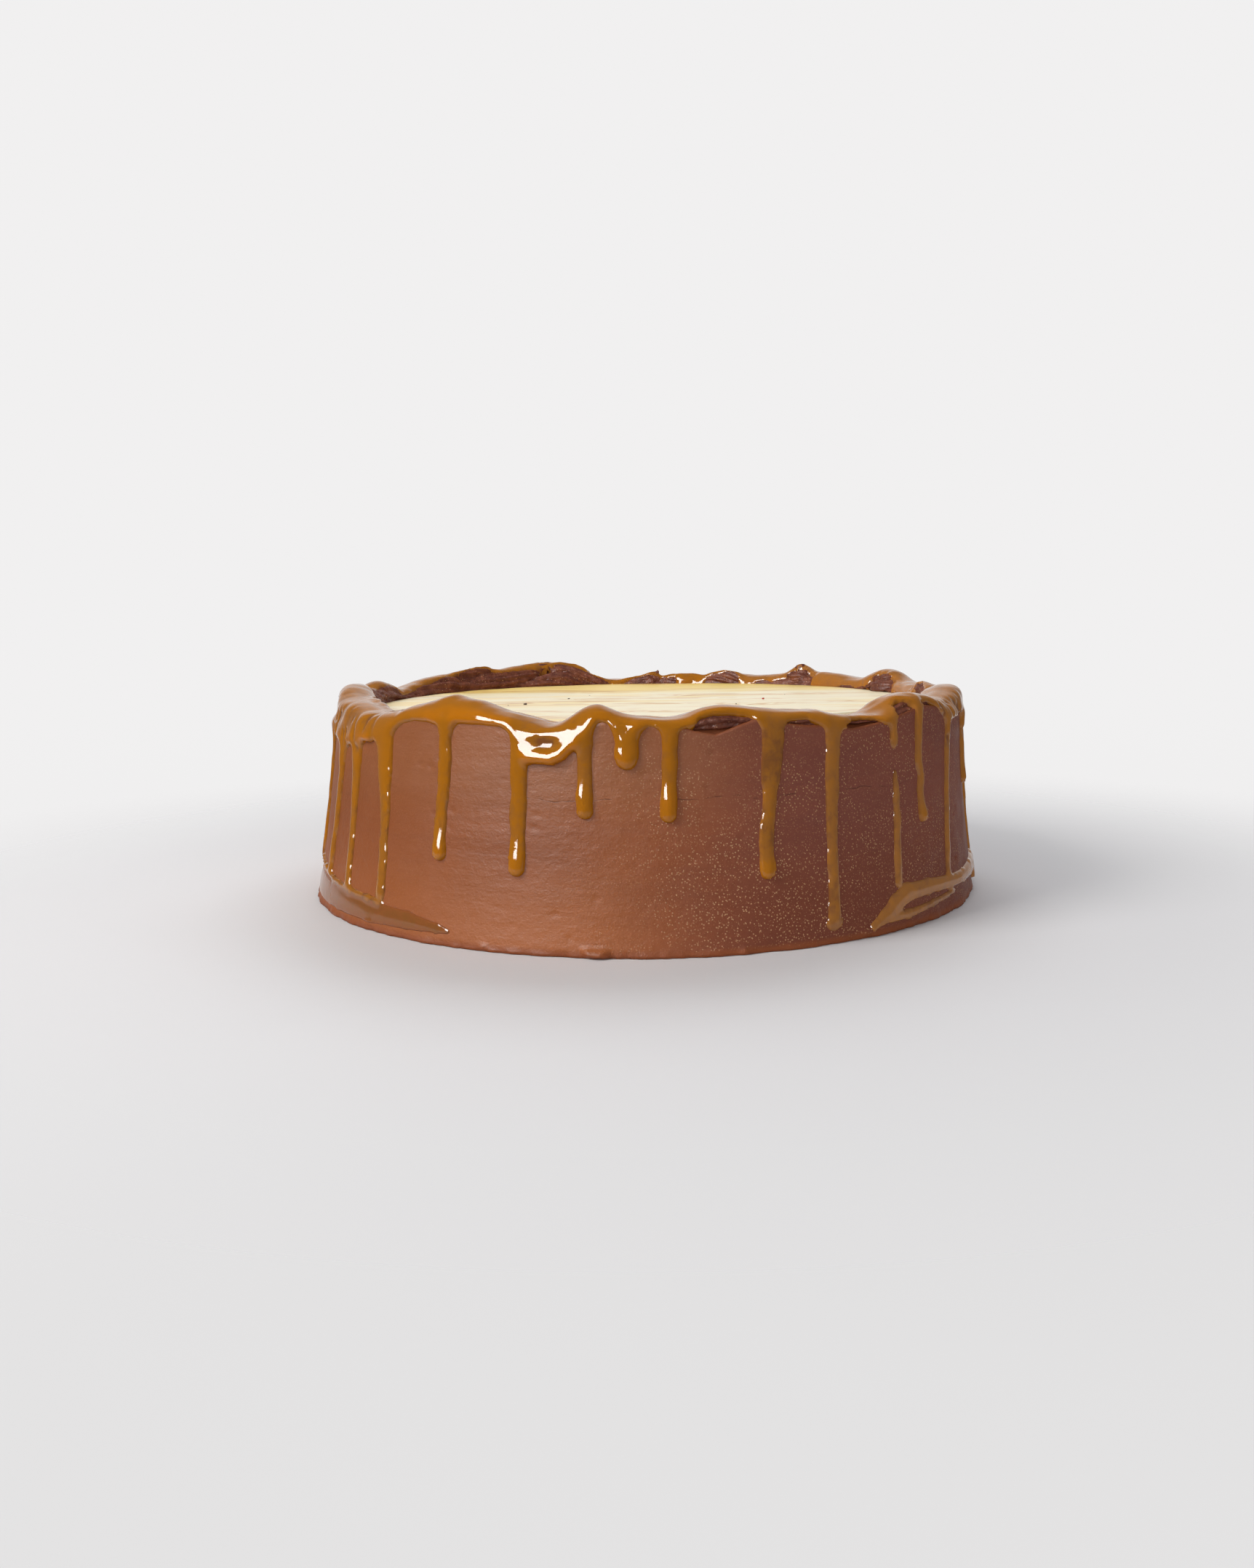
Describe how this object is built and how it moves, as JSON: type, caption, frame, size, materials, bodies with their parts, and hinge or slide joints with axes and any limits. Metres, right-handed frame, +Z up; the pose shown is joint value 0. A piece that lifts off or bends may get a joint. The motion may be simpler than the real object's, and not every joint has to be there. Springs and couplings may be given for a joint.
{
  "type": "salted caramel cake",
  "caption": "Tall round frosted layer cake: smooth chocolate side, pale cream top in a ring of ridged piping, glossy caramel poured over the rim and running down in drips.",
  "frame": {"origin": "centre of the round base, on the surface that the cake stands on", "axes": "+Z up; -Y towards the front, the side with the wide pour of caramel left of the middle; +X to the cake's right as seen from the front"},
  "size_m": [0.2619, 0.2618, 0.0866],
  "materials": {
    "frosting": "smooth satin chocolate frosting, spread with a scraper",
    "cream": "soft satin vanilla cream marbled with caramel",
    "piping": "ridged piped chocolate frosting, satin",
    "caramel": "wet glossy caramel sauce"
  },
  "bodies": {
    "root": {"cake": "frosting", "cream_top": "cream", "piped_border": "piping", "caramel_drip": "caramel"}
  },
  "joints": []
}
